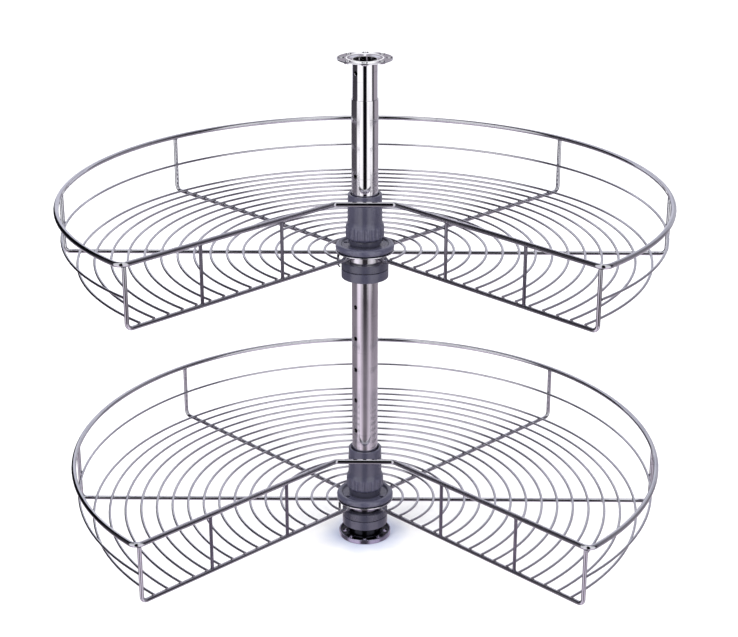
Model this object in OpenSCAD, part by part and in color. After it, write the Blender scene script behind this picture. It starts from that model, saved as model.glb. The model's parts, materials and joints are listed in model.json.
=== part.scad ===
// Two-tier three-quarter carousel for a corner cupboard: a telescopic post with two
// chromed wire baskets that turn on ball races. Millimetres, +Z up. The origin is the
// centre of the base flange's underside, and the notch of the baskets faces -Y.

/* [Post] */
// Overall height, floor to top flange, with the top tube as it is drawn
unit_h = 601; // [590:1:700]
// Outside diameter of the post tube
post_d = 31; // [28:0.5:33]
// Wall of the post tube
post_wall = 0.95; // [0.7:0.05:1.4]
// Wall of the telescopic top tube
top_tube_wall = 0.8; // [0.7:0.1:1.6]
// Length of the telescopic top tube
top_tube_len = 220; // [190:1:228]
// Height of top tube and flange that shows above the post tube
top_tube_show = 47; // [40:1:60]
// Diameter of the adjusting holes
hole_d = 5.5; // [3.5:0.5:6]
// Spacing of the adjusting holes
hole_pitch = 40; // [30:1:50]
// Height of the lowest adjusting hole
first_hole_z = 145; // [140:1:160]
// Number of adjusting holes; the telescope is locked through the highest
hole_count = 9; // [8:1:10]
// Direction of the row of holes, anticlockwise from +X
hole_angle = 225; // [200:1:250]

/* [Flanges] */
// Diameter of the base and top flanges
flange_d = 64; // [60:1:76]
// Thickness of the base flange's plate
base_t = 3; // [2:0.5:5]
// Height of the base flange's turned-up rim
base_rim_h = 6; // [5:0.5:8]
// Width of the base flange's turned-up rim
base_rim_w = 1.6; // [1:0.1:2.5]
// Wall of the base socket at its top
socket_wall = 3; // [2:0.5:4]
// How much wider the base socket's radius is at its foot
socket_flare = 2.6; // [1:0.1:3]
// Bolt circle of the base flange
base_bolt_circle = 50; // [48:1:52]
// Thickness of the top flange's plate
top_flange_t = 1.6; // [1.2:0.1:3]
// Bolt circle of the top flange
top_bolt_circle = 54; // [50:1:55]
// Bolt holes in each flange
bolt_count = 8; // [4:1:8]
// Diameter of the bolt holes
bolt_hole_d = 4.5; // [3.5:0.5:5]
// Mouth of the pressed countersinks in the top flange
dimple_d = 8; // [7:0.5:8.5]
// How far the pressed countersinks stand below the top flange
dimple_drop = 1.2; // [0.6:0.1:2]

/* [Hub] */
// Wall of the hub core that runs on the post
core_wall = 1.95; // [1.6:0.05:3]
// Wall of the fluted clamp nut at its smooth top
nut_wall = 2.4; // [1.6:0.1:3]
// Height of the fluted clamp nut
nut_h = 42.5; // [36:0.5:48]
// Extra radius of the nut's fluted swell
nut_swell = 2.4; // [1:0.1:3]
// Height of the nut's fluted swell
swell_h = 21; // [16:1:26]
// Flutes round the nut
flute_count = 20; // [16:1:22]
// Diameter of each flute
flute_d = 3; // [2:0.2:4]
// Depth of each flute
flute_depth = 0.7; // [0.4:0.1:1]
// Height of the neck that shows under the nut
neck_h = 5; // [3:0.2:8]
// Wall added to the core at the neck
neck_wall = 2; // [0.8:0.1:2.4]
// Height of the cap ring above the nut
cap_h = 11.2; // [8:0.2:16]
// Wall of the cap ring outside the core
cap_wall = 2.4; // [1.6:0.1:3]
// Width of the dark mouth between the cap ring and the tube
cap_mouth = 1.2; // [0.8:0.1:1.6]
// Depth of the cap ring's mouth
cap_mouth_depth = 6; // [3:0.5:7]
// Diameter of the round-edged flange disc
disc_d = 69; // [64:1:72]
// Height of the flange disc
disc_h = 8.5; // [7:0.5:12]
// Depth of the dished top of the flange disc
disc_dish = 3; // [1:0.2:3.4]
// Thickness of the chromed hub plate
plate_t = 1.5; // [1.5:0.1:3]
// Wall of the hub ring's collar
collar_wall = 2; // [1.5:0.1:3]
// How far the hub ring's collar reaches below the spokes
collar_drop = 9; // [6:0.5:12]
// Screws through the flange disc
screw_count = 3; // [2:1:4]
// Radius on which the disc screws sit
screw_r = 24; // [23:0.5:25.5]
// Head diameter of the disc screws
screw_head_d = 5.2; // [4:0.2:6]
// Shank diameter of the disc screws
screw_shank_d = 3; // [2.5:0.1:3.5]
// Width of the stop catch
catch_w = 4; // [3:0.5:5]
// Thickness of the stop catch
catch_t = 1.6; // [1:0.1:1.8]
// How far the stop catch hangs below the spokes
catch_drop = 14; // [10:1:16]
// Direction of the stop catch, anticlockwise from +X
catch_angle = 203; // [200:1:206]

/* [Ball race] */
// Diameter of the two race rings
race_d = 55.5; // [53:0.5:58]
// Height of the turning race cap
race_cap_h = 8.9; // [7.5:0.1:12]
// Height of the fixed race seat
race_seat_h = 11.2; // [9:0.1:14]
// Gap between the race cap and the race seat
race_gap = 0.8; // [0.6:0.1:1.2]
// Diameter of the balls
ball_d = 4; // [3.5:0.1:4.4]
// Number of balls
ball_count = 12; // [8:1:14]
// Thickness of the ball cage
cage_t = 1.5; // [1:0.1:2]
// Web of the cage beside each ball
cage_web = 0.95; // [0.6:0.05:1.1]

/* [Baskets] */
// Outside diameter of a basket over its rim
basket_d = 710; // [660:1:800]
// Height of the lower basket's spokes above the cupboard floor
lower_z = 46.5; // [44:0.5:60]
// Height of the upper basket's spokes above the cupboard floor
upper_z = 370; // [340:1:390]
// Height of the rim above the spokes
wall_h = 71; // [60:1:90]
// Height of the mid rail above the spokes
mid_h = 35; // [28:1:42]
// Diameter of the rim wire
rim_wire_d = 6; // [5:0.5:8]
// Diameter of the spoke and notch frame wires
frame_wire_d = 5; // [4:0.5:6]
// Diameter of the floor wires
floor_wire_d = 3; // [2.5:0.1:3.5]
// Diameter of the mid rail wire
mid_wire_d = 3; // [2.5:0.1:3.5]
// Diameter of the notch uprights
upright_wire_d = 4; // [3:0.5:5]
// Number of floor wires
floor_wire_count = 16; // [10:1:16]
// Radius of the innermost floor wire
floor_first_r = 47; // [44:1:50]
// Spacing of the floor wires
floor_pitch = 19; // [14:0.5:19]
// How far a floor wire runs on past the middle of the notch rail
floor_overhang = 1.5; // [1:0.1:2]
// Opening angle of the notch
notch_angle = 90; // [86:1:92]
// Distance of the notch's apex in front of the axis
notch_setback = 5; // [2:0.5:8]
// Distance of the rim's crosspiece in front of the axis
cross_reach = 40; // [38:1:48]
// Bend radius of the rim at the crosspiece
cross_bend_r = 8; // [6:0.5:12]
// Bend radius of the rim's front corners
corner_bend_r = 10; // [8:0.5:14]
// How far the corner posts stand inside the rim's radius
corner_inset = 5; // [4:0.5:6]
// Bend radius of the spokes and notch rails at the floor's edge
edge_bend_r = 7; // [5:0.5:8]
// Radius of the inner notch uprights
inner_upright_r = 132; // [120:1:150]
// Radius of the outer notch uprights
outer_upright_r = 247; // [230:1:260]
// Direction of the right-hand back spoke; the left one mirrors it
back_spoke_angle = 45; // [40:1:50]

/* [Fits] */
// Radial clearance of a tube that slides in or on another piece
slide_fit = 0.1; // [0.05:0.01:0.1]
// Radial gap of a piece that is pressed over another
press_gap = 0.05; // [0.02:0.01:0.1]
// Gap between pieces that turn against each other
run_gap = 0.3; // [0.2:0.05:0.5]
// Gap left between two crossing wires for their weld
weld_gap = 0.05; // [0.02:0.01:0.1]
// How deep a butt-welded wire end sinks into the wire it meets
weld_sink = 0.8; // [0.4:0.1:1]
// How much thicker the rim's radius is at its tight bends
bend_swell = 0.02; // [0.01:0.01:0.05]
// How far the rim's straights and great arc run on into its bends
bend_lap = 0.2; // [0.1:0.05:0.3]

/* [Hidden] */

// Facets of round solids, of wires and of the great arcs
$fn = 64;
wire_fn = 24;
arc_fn = 144;
bend_fn = 64;
// Cutting tools run this far past the face that they open
cut = 1;

// Diameters that follow from the post outwards
post_bore = post_d - 2 * post_wall;
top_tube_d = post_bore - 2 * slide_fit;
top_tube_bore = top_tube_d - 2 * top_tube_wall;
core_bore = post_d + 2 * slide_fit;
core_d = core_bore + 2 * core_wall;
neck_d = core_d + 2 * neck_wall;
nut_bore = core_d + 2 * run_gap;
nut_d = nut_bore + 2 * nut_wall;
cap_d = core_d + 2 * cap_wall;
turning_bore = core_d + 2 * run_gap;
spigot_d = turning_bore + 2 * collar_wall;
collar_bore = spigot_d + 2 * press_gap;
collar_d = collar_bore + 2 * collar_wall;
seat_bore = core_d + 2 * press_gap;

// Heights within a hub, counted from the middle of the spokes
plate_z = frame_wire_d / 2 + weld_gap;
disc_z = plate_z + plate_t;
neck_z = disc_z + disc_h + run_gap;
nut_z = neck_z + neck_h + run_gap;
cap_z = nut_z + nut_h + run_gap;
race_cap_z = -collar_drop - race_cap_h;
race_seat_top = race_cap_z - race_gap;
hub_foot_z = race_seat_top - race_seat_h;

// Ball race
ball_z = race_cap_z - race_gap / 2;
race_r = (race_d + turning_bore) / 4;
pocket_d = ball_d + run_gap;
cage_w = pocket_d + 2 * cage_web;
channel_w = cage_w + 2 * run_gap;
channel_reach = ball_d / 2 + run_gap;

// Post
post_top_z = unit_h - top_tube_show;
post_foot_z = base_t;
lock_hole_z = first_hole_z + (hole_count - 1) * hole_pitch;
top_tube_foot_z = unit_h - top_tube_len;
holes_over_lock = floor((unit_h - 2 * hole_d - lock_hole_z) / hole_pitch);
holes_under_lock = floor((lock_hole_z - 2 * hole_d - top_tube_foot_z) / hole_pitch);
socket_top_z = lower_z + hub_foot_z - run_gap;

// Basket outline, as the right-hand rail; the left one mirrors it
half_notch = notch_angle / 2;
rail_angle = half_notch - 90;
rail_shift = notch_setback * sin(half_notch);
rim_r = (basket_d - rim_wire_d) / 2;
corner_offset = corner_bend_r - rail_shift;
corner_reach = sqrt(pow(rim_r - corner_bend_r, 2) - pow(corner_offset, 2));
corner_swing = atan2(corner_offset, corner_reach);
cross_run = (cross_reach - notch_setback) / cos(half_notch);
cross_x = cross_run * sin(half_notch);
cross_t = cross_run + notch_setback * cos(half_notch);
cross_turn = 90 - half_notch;
cross_trim = cross_bend_r * tan(cross_turn / 2);
cross_bend_x = cross_x - cross_trim;
bend_wire_d = rim_wire_d + 2 * bend_swell;
lap_angle = asin(bend_lap / rim_r);
corner_post_r = rim_r - corner_inset;
stem_top_z = wall_h - rim_wire_d / 2 + weld_sink;
floor_z = (frame_wire_d + floor_wire_d) / 2 + weld_gap;
mid_r = rim_r - (frame_wire_d + mid_wire_d) / 2 - weld_gap;
wire_start_r = collar_d / 2 + weld_gap;

// Screws of each hub are turned to where that hub shows them
lower_screw_angle = 90;
upper_screw_angle = 40;

chrome = "gainsboro";
plastic = "slategray";
dark = "dimgray";

// ---------- shared forms ----------

// Ring of outside diameter d and bore b, h high, standing on z
module ring(d, b, h, z = 0)
  translate([0, 0, z])
    difference() {
      cylinder(d = d, h = h);
      translate([0, 0, -cut]) cylinder(d = b, h = h + 2 * cut);
    }

// Wire bent to an arc about +Z, from angle a0 to angle a1, fn facets to a full turn
module arc_wire(r, d, a0, a1, fn = arc_fn)
  rotate([0, 0, a0])
    rotate_extrude(angle = a1 - a0, $fn = fn)
      translate([r, 0]) circle(d = d, $fn = wire_fn);

// Straight wire along +X from x0 to x1
module bar(d, x0, x1)
  translate([x0, 0, 0])
    rotate([0, 90, 0]) cylinder(d = d, h = x1 - x0, $fn = wire_fn);

// Wire that runs out along +X, bends up at the floor's edge and stands under the rim
module edge_wire(end_r) {
  bar(frame_wire_d, wire_start_r, end_r - edge_bend_r);
  translate([end_r - edge_bend_r, 0, edge_bend_r])
    rotate([90, 0, 0]) arc_wire(edge_bend_r, frame_wire_d, -90, 0, bend_fn);
  translate([end_r, 0, edge_bend_r])
    cylinder(d = frame_wire_d, h = stem_top_z - edge_bend_r, $fn = wire_fn);
}

// Places its children in the plane of the right-hand notch rail, with +X outwards
module along_rail()
  rotate([0, 0, rail_angle]) translate([0, -rail_shift, 0]) children();

// The row of adjusting holes from height z, n of them
module adjusting_holes(z, n)
  for (i = [0 : n - 1])
    translate([0, 0, z + i * hole_pitch])
      rotate([0, 90, hole_angle])
        cylinder(d = hole_d, h = post_d + 2 * cut, center = true, $fn = wire_fn);

// Bolt holes of diameter d on a circle, from height z
module bolt_holes(circle_d, d, z, h)
  for (i = [0 : bolt_count - 1])
    rotate([0, 0, i * 360 / bolt_count])
      translate([circle_d / 2, 0, z]) cylinder(d = d, h = h, $fn = wire_fn);

// ---------- post ----------

// Dished flange with the socket that the post stands in
module base_flange()
  color(chrome)
    difference() {
      union() {
        cylinder(d = flange_d, h = base_t);
        ring(flange_d, flange_d - 2 * base_rim_w, base_rim_h);
        cylinder(
          r1 = post_d / 2 + socket_wall + socket_flare,
          r2 = post_d / 2 + socket_wall,
          h = socket_top_z
        );
      }
      translate([0, 0, post_foot_z]) cylinder(d = post_d + 2 * press_gap, h = socket_top_z);
      bolt_holes(base_bolt_circle, bolt_hole_d, -cut, base_t + 2 * cut);
    }

// Main tube of the post, from the base socket up
module post_tube()
  color(chrome)
    difference() {
      ring(post_d, post_bore, post_top_z - post_foot_z, post_foot_z);
      adjusting_holes(first_hole_z, hole_count);
    }

// Telescopic tube, open at its top through the flange
module top_tube()
  color(chrome)
    difference() {
      ring(top_tube_d, top_tube_bore, top_tube_len - top_flange_t, top_tube_foot_z);
      adjusting_holes(lock_hole_z - holes_under_lock * hole_pitch,
                      holes_under_lock + holes_over_lock + 1);
    }

// Thin top flange with pressed countersinks, flush on the tube's end
module top_flange()
  color(chrome)
    difference() {
      union() {
        cylinder_at(flange_d, top_flange_t, unit_h - top_flange_t);
        for (i = [0 : bolt_count - 1])
          rotate([0, 0, i * 360 / bolt_count])
            translate([top_bolt_circle / 2, 0, unit_h - top_flange_t - dimple_drop])
              cylinder(d1 = bolt_hole_d + 2 * top_flange_t, d2 = dimple_d + top_flange_t,
                       h = dimple_drop + top_flange_t / 2, $fn = wire_fn);
      }
      cylinder_at(top_tube_bore, top_flange_t + 2 * cut, unit_h - top_flange_t - cut);
      bolt_holes(top_bolt_circle, bolt_hole_d, unit_h - top_flange_t - dimple_drop - cut,
                 top_flange_t + dimple_drop + 2 * cut);
      for (i = [0 : bolt_count - 1])
        rotate([0, 0, i * 360 / bolt_count])
          translate([top_bolt_circle / 2, 0, unit_h - top_flange_t - dimple_drop / 2])
            cylinder(d1 = bolt_hole_d, d2 = dimple_d, h = top_flange_t + dimple_drop / 2,
                     $fn = wire_fn);
    }

// Disc of diameter d and height h that stands on z
module cylinder_at(d, h, z)
  translate([0, 0, z]) cylinder(d = d, h = h);

// ---------- hub, drawn about the middle of the spokes ----------

// Tube that slides on the post
module hub_core()
  color(plastic)
    difference() {
      union() {
        cylinder_at(core_d, cap_z - hub_foot_z, hub_foot_z);
        cylinder_at(neck_d, neck_h, neck_z);
      }
      cylinder_at(core_bore, cap_z - hub_foot_z + 2 * cut, hub_foot_z - cut);
    }

// Ring pressed on the core's top, with a dark mouth round the tube
module cap_ring()
  color(plastic)
    difference() {
      cylinder_at(cap_d, cap_h, cap_z);
      cylinder_at(core_bore, cap_h + 2 * cut, cap_z - cut);
      cylinder_at(core_bore + 2 * cap_mouth, cap_mouth_depth + cut,
                  cap_z + cap_h - cap_mouth_depth);
    }

// Fixed lower half of the ball race, pressed on the core
module race_seat()
  color(plastic)
    difference() {
      ring(race_d, seat_bore, race_seat_h, hub_foot_z);
      race_channel(ball_z - channel_reach, race_gap + channel_reach);
    }

// Square channel that the balls run in, h high from z
module race_channel(z, h)
  ring(2 * race_r + channel_w, 2 * race_r - channel_w, h, z);

// Fluted nut that clamps the hub to the post
module clamp_nut() {
  swell_d = nut_d + 2 * nut_swell;
  foot_h = swell_h / 6;
  shoulder_h = swell_h / 4;
  color(plastic)
    translate([0, 0, nut_z])
      difference() {
        union() {
          cylinder(d = nut_d, h = nut_h);
          cylinder(d1 = nut_d, d2 = swell_d, h = foot_h);
          cylinder_at(swell_d, swell_h - foot_h - shoulder_h, foot_h);
          translate([0, 0, swell_h - shoulder_h])
            cylinder(d1 = swell_d, d2 = nut_d, h = shoulder_h);
        }
        cylinder_at(nut_bore, nut_h + 2 * cut, -cut);
        for (i = [0 : flute_count - 1])
          rotate([0, 0, i * 360 / flute_count])
            translate([(swell_d + flute_d) / 2 - flute_depth, 0, -cut])
              cylinder(d = flute_d, h = swell_h + cut, $fn = wire_fn);
      }
}

// Ring that spaces the balls
module ball_cage()
  color(dark)
    difference() {
      ring(2 * race_r + cage_w, 2 * race_r - cage_w, cage_t, ball_z - cage_t / 2);
      for (i = [0 : ball_count - 1])
        rotate([0, 0, i * 360 / ball_count])
          translate([race_r, 0, ball_z - cage_t]) cylinder(d = pocket_d, h = 2 * cage_t);
    }

module balls()
  color(chrome)
    for (i = [0 : ball_count - 1])
      rotate([0, 0, i * 360 / ball_count])
        translate([race_r, 0, ball_z]) sphere(d = ball_d, $fn = wire_fn);

// Turning upper half of the ball race, with a spigot up into the hub ring's collar
module race_cap()
  color(plastic)
    difference() {
      union() {
        cylinder_at(race_d, race_cap_h, race_cap_z);
        cylinder_at(spigot_d, collar_drop, -collar_drop);
      }
      cylinder_at(turning_bore, race_cap_h + collar_drop + 2 * cut, race_cap_z - cut);
      race_channel(race_cap_z - race_gap, race_gap / 2 + channel_reach);
    }

// Chromed plate and collar that all the spokes are welded to
module hub_ring()
  color(chrome)
    difference() {
      union() {
        cylinder_at(disc_d, plate_t, plate_z);
        cylinder_at(collar_d, collar_drop + plate_z, -collar_drop);
      }
      cylinder_at(collar_bore, collar_drop + plate_z + cut, -collar_drop - cut);
      cylinder_at(turning_bore, plate_z + plate_t + 2 * cut, -cut);
    }

// Round-edged plastic flange on the hub plate
module flange_disc(screw_angle)
  color(plastic)
    difference() {
      union() {
        cylinder_at(disc_d - disc_h, disc_h, disc_z);
        translate([0, 0, disc_z + disc_h / 2])
          rotate_extrude() translate([(disc_d - disc_h) / 2, 0]) circle(d = disc_h, $fn = 32);
      }
      cylinder_at(turning_bore, disc_h + 2 * cut, disc_z - cut);
      translate([0, 0, disc_z + disc_h - disc_dish])
        cylinder(d1 = neck_d + 2 * run_gap, d2 = disc_d - disc_h, h = disc_dish + cut / 10);
      at_screws(screw_angle)
        cylinder_at(screw_shank_d + 2 * press_gap, disc_h + cut, disc_z - cut / 2);
      at_screws(screw_angle)
        cylinder_at(screw_head_d + 2 * press_gap, disc_h, disc_z + disc_h / 3);
    }

// Repeats its children at the disc screws, the first at angle a
module at_screws(a)
  for (i = [0 : screw_count - 1])
    rotate([0, 0, a + i * 360 / screw_count]) translate([screw_r, 0, 0]) children();

// Screws that hold the flange disc, their heads sunk in it
module disc_screws(screw_angle)
  color(dark)
    at_screws(screw_angle)
      difference() {
        union() {
          cylinder_at(screw_shank_d, disc_h / 3 - press_gap, disc_z + press_gap);
          cylinder_at(screw_head_d, disc_h / 5, disc_z + disc_h / 3);
        }
        cylinder_at(screw_head_d / 2, disc_h, disc_z + disc_h / 3 + disc_h / 10);
      }

// Sprung tongue under the hub plate that marks the closed position
module stop_catch()
  color(dark)
    rotate([0, 0, catch_angle]) {
      translate([wire_start_r, -catch_w / 2, plate_z - catch_t - weld_gap])
        cube([disc_d / 2 - wire_start_r, catch_w, catch_t]);
      translate([disc_d / 2 - catch_t, -catch_w / 2, -catch_drop])
        cube([catch_t, catch_w, catch_drop + plate_z - weld_gap]);
    }

// ---------- basket, drawn about the middle of the spokes ----------

// Radial spoke at angle a, with its post up to the rim
module spoke(a)
  color(chrome) rotate([0, 0, a]) edge_wire(rim_r);

// Bottom rail of the notch with its corner post
module notch_frame()
  color(chrome) along_rail() edge_wire(corner_post_r);

// Uprights of both notch sides
module notch_uprights()
  color(chrome)
    for (side = [0, 1]) mirror([side, 0, 0])
      along_rail()
        for (r = [inner_upright_r, outer_upright_r])
          translate([r, 0, frame_wire_d / 2 - weld_sink])
            cylinder(d = upright_wire_d, h = stem_top_z - frame_wire_d / 2 + weld_sink,
                     $fn = wire_fn);

// Concentric wires of the floor, each lying on the spokes and ending on the notch rails
module floor_wires()
  color(chrome)
    for (i = [0 : floor_wire_count - 1]) {
      r = floor_first_r + i * floor_pitch;
      end_angle = rail_angle - asin((rail_shift + floor_overhang) / r);
      translate([0, 0, floor_z]) arc_wire(r, floor_wire_d, end_angle, 180 - end_angle);
    }

// Thin rail inside the posts at half height
module mid_rail() {
  stand_off = frame_wire_d / 2 + weld_gap;
  end_angle = rail_angle + asin((stand_off - rail_shift) / mid_r);
  color(chrome)
    translate([0, 0, mid_h]) arc_wire(mid_r, mid_wire_d, end_angle, 180 - end_angle);
}

// One closed loop: the great arc, two rounded corners, two rails and the crosspiece
module rim_loop() {
  arc_end = rail_angle + corner_swing - lap_angle;
  color(chrome)
    translate([0, 0, wall_h]) {
      arc_wire(rim_r, rim_wire_d, arc_end, 180 - arc_end);
      for (side = [0, 1]) mirror([side, 0, 0]) {
        along_rail() {
          bar(rim_wire_d, cross_t + cross_trim - bend_lap, corner_reach + bend_lap);
          translate([corner_reach, corner_bend_r, 0])
            arc_wire(corner_bend_r, bend_wire_d, -90, corner_swing, bend_fn);
        }
        translate([cross_bend_x, -cross_reach - cross_bend_r, 0])
          arc_wire(cross_bend_r, bend_wire_d, 90 - cross_turn, 90, bend_fn);
      }
      translate([0, -cross_reach, 0])
        bar(rim_wire_d, -cross_bend_x - bend_lap, cross_bend_x + bend_lap);
    }
}

// Lift a piece to the lower or the upper basket
module lower() translate([0, 0, lower_z]) children();
module upper() translate([0, 0, upper_z]) children();

base_flange();
post_tube();
top_tube();
top_flange();

lower() hub_core();  // lower_hub_core
lower() cap_ring();  // lower_cap_ring
lower() race_seat();  // lower_race_seat
lower() clamp_nut();  // lower_clamp_nut
lower() ball_cage();  // lower_ball_cage
lower() balls();  // lower_balls
lower() race_cap();  // lower_race_cap
lower() hub_ring();  // lower_hub_ring
lower() flange_disc(lower_screw_angle);  // lower_flange_disc
lower() disc_screws(lower_screw_angle);  // lower_disc_screws
lower() stop_catch();  // lower_stop_catch
lower() spoke(0);  // lower_spoke_right
lower() spoke(back_spoke_angle);  // lower_spoke_back_right
lower() spoke(180 - back_spoke_angle);  // lower_spoke_back_left
lower() spoke(180);  // lower_spoke_left
lower() notch_frame();  // lower_notch_frame_right
lower() mirror([1, 0, 0]) notch_frame();  // lower_notch_frame_left
lower() notch_uprights();  // lower_notch_uprights
lower() floor_wires();  // lower_floor_wires
lower() mid_rail();  // lower_mid_rail
lower() rim_loop();  // lower_rim_loop

upper() hub_core();  // upper_hub_core
upper() cap_ring();  // upper_cap_ring
upper() race_seat();  // upper_race_seat
upper() clamp_nut();  // upper_clamp_nut
upper() ball_cage();  // upper_ball_cage
upper() balls();  // upper_balls
upper() race_cap();  // upper_race_cap
upper() hub_ring();  // upper_hub_ring
upper() flange_disc(upper_screw_angle);  // upper_flange_disc
upper() disc_screws(upper_screw_angle);  // upper_disc_screws
upper() stop_catch();  // upper_stop_catch
upper() spoke(0);  // upper_spoke_right
upper() spoke(back_spoke_angle);  // upper_spoke_back_right
upper() spoke(180 - back_spoke_angle);  // upper_spoke_back_left
upper() spoke(180);  // upper_spoke_left
upper() notch_frame();  // upper_notch_frame_right
upper() mirror([1, 0, 0]) notch_frame();  // upper_notch_frame_left
upper() notch_uprights();  // upper_notch_uprights
upper() floor_wires();  // upper_floor_wires
upper() mid_rail();  // upper_mid_rail
upper() rim_loop();  // upper_rim_loop
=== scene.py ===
"""Corner cupboard carousel: looks for two chromed wire baskets on a telescopic post.

Metres, +Z up, origin under the base flange, and the open notch of the baskets faces -Y.
"""

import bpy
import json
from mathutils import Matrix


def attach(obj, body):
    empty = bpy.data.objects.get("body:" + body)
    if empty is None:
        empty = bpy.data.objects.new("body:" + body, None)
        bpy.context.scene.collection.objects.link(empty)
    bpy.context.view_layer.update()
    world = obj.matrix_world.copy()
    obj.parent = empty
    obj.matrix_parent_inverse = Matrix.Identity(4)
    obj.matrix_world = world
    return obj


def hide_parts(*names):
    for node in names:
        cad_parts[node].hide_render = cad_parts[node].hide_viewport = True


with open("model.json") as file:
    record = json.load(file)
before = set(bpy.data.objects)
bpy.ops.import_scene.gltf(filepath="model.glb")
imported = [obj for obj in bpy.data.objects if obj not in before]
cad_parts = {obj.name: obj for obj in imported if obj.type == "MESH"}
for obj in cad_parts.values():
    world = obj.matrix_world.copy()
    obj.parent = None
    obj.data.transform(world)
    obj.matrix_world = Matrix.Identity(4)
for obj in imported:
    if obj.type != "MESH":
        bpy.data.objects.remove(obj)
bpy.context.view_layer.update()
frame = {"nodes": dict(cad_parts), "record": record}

import json
import math

import bmesh
import bpy
from mathutils import Matrix, Vector

MM = 0.001  # metres
LEVELS = ("lower", "upper")
# Heights of the spokes above the floor, and where the first disc screw shows
HEIGHT = {"lower": 46.5, "upper": 370.0}
FIRST_SCREW = {"lower": 90, "upper": 40}
# The lower collar stands in the shade between hub and floor; its chrome gets painted shade
COLLAR_FINISH = {"lower": "painted_shade_chrome", "upper": "bright_chrome"}
nodes = frame["nodes"]


# ---------- shader helpers ----------

def add(tree, kind, **settings):
    """A new shader node with its plain settings."""
    node = tree.nodes.new(kind)
    for name, value in settings.items():
        setattr(node, name, value)
    return node


def math_node(tree, operation, a, b=None, clamp=False):
    """A Math node on two inputs, each a socket or a number."""
    node = add(tree, "ShaderNodeMath", operation=operation, use_clamp=clamp)
    for index, value in enumerate((a, b)):
        if value is None:
            continue
        if isinstance(value, (int, float)):
            node.inputs[index].default_value = value
        else:
            tree.links.new(value, node.inputs[index])
    return node.outputs[0]


def map_range(tree, value, low, high, to_low=0.0, to_high=1.0):
    """The socket's value from low..high brought to to_low..to_high, and held there."""
    node = add(tree, "ShaderNodeMapRange")
    node.inputs["From Min"].default_value = low
    node.inputs["From Max"].default_value = high
    node.inputs["To Min"].default_value = to_low
    node.inputs["To Max"].default_value = to_high
    tree.links.new(value, node.inputs["Value"])
    return node.outputs[0]


def mix_colour(tree, factor, a, b):
    """Colour a turned to colour b by a factor socket; a and b are sockets or colours."""
    node = add(tree, "ShaderNodeMix", data_type="RGBA")
    tree.links.new(factor, node.inputs["Factor"])
    for socket, value in ((node.inputs[6], a), (node.inputs[7], b)):
        if isinstance(value, (tuple, list)):
            socket.default_value = (*value, 1.0)
        else:
            tree.links.new(value, socket)
    return node.outputs[2]


# ---------- studio ----------

# What polished metal sees round the object, between softboxes, flags and the hazy floor sweep:
# rows of (degrees from the front towards +X, colour) for the levels of the ray in ROWS
WHITE = (1.15, 1.15, 1.18)
PALE = (0.9, 0.9, 0.93)
HAZE = (0.55, 0.55, 0.62)
SMOKE = (0.08, 0.075, 0.095)
STEEL = (0.38, 0.35, 0.40)
PEWTER = (0.23, 0.22, 0.25)
PLUM = (0.095, 0.088, 0.105)
DUSK = (0.045, 0.042, 0.052)
BLACK = (0.004, 0.004, 0.006)
HIGH = (
    (-180, WHITE), (-177.5, WHITE), (-175, HAZE), (-158, HAZE), (-152, BLACK), (-112, BLACK),
    (-106, DUSK), (-78, DUSK), (-72, PALE), (-22, PALE), (-17, BLACK), (11, BLACK), (15, PALE),
    (60, PALE), (66, DUSK), (78, DUSK), (84, SMOKE), (93, SMOKE), (98, PEWTER), (134, PEWTER),
    (142, HAZE), (175, HAZE), (177.5, WHITE), (180, WHITE),
)
EYE_LEVEL = (
    (-180, DUSK), (-74, DUSK), (-64, WHITE), (-20, WHITE), (-13, BLACK), (14, BLACK), (21, WHITE),
    (64, WHITE), (70, DUSK), (84, DUSK), (92, STEEL), (150, STEEL), (180, HAZE),
)
LOWER = (
    (-180, PLUM), (-76, PLUM), (-65, WHITE), (-19, WHITE), (-12, BLACK), (14, BLACK), (22, WHITE),
    (66, WHITE), (74, PLUM), (86, PLUM), (94, STEEL), (150, STEEL), (180, HAZE),
)


def dusk_row(levels):
    """A row of greys with the floor's warm violet tint, from (degrees, grey) pairs."""
    return tuple((degrees, (grey * 1.04, grey * 0.93, grey * 1.08)) for degrees, grey in levels)


def lamp_row(strong, weak, gap, soft, left, beside, right):
    """A strong lamp on the left and a weak one on the right, as the hazy floor shows them.

    gap is the dark between the two, soft the share of a lamp's light halfway down to the gap,
    beside the tone next to the weak lamp, and left and right the shade further out.
    """
    return dusk_row((
        (-180, left), (-80, left), (-57, strong), (-45, strong), (-27, soft * strong), (-8, gap),
        (12, gap), (27, soft * weak), (39, weak), (47, weak), (64, beside), (110, right),
        (180, 1.5 * right),
    ))


SWEEP = lamp_row(strong=0.92, weak=0.5, gap=0.035, soft=0.35, left=0.24, beside=0.15, right=0.24)
FLOOR_EDGE = lamp_row(strong=0.8, weak=0.59, gap=0.22, soft=0.7, left=0.23, beside=0.43, right=0.35)
PLAIN_FLOOR = dusk_row((
    (-180, 0.8), (-142, 0.75), (-124, 0.16), (-86, 0.16), (-72, 0.95), (-26, 0.95), (-16, 0.05),
    (13, 0.05), (23, 0.95), (68, 0.9), (76, 0.3), (130, 0.45), (180, 0.8),
))
TABLE = dusk_row((
    (-180, 0.9), (-150, 0.85), (-130, 0.2), (-78, 0.2), (-66, 0.95), (-24, 0.95), (-14, 0.35),
    (12, 0.35), (22, 0.95), (66, 0.95), (78, 0.4), (132, 0.4), (150, 0.8), (180, 0.9),
))
CEILING = ((-180, (1.1, 1.1, 1.13)), (180, (1.1, 1.1, 1.13)))
# From the top down: each row and the elevations between which the one above fades into it
ROWS = (
    (HIGH, (79, 71)), (EYE_LEVEL, (-6, -10)), (LOWER, (-13, -16.5)), (SWEEP, (-18.5, -20.5)),
    (FLOOR_EDGE, (-21, -23.5)), (PLAIN_FLOOR, (-25, -28)), (TABLE, (-45, -52)),
)
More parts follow.
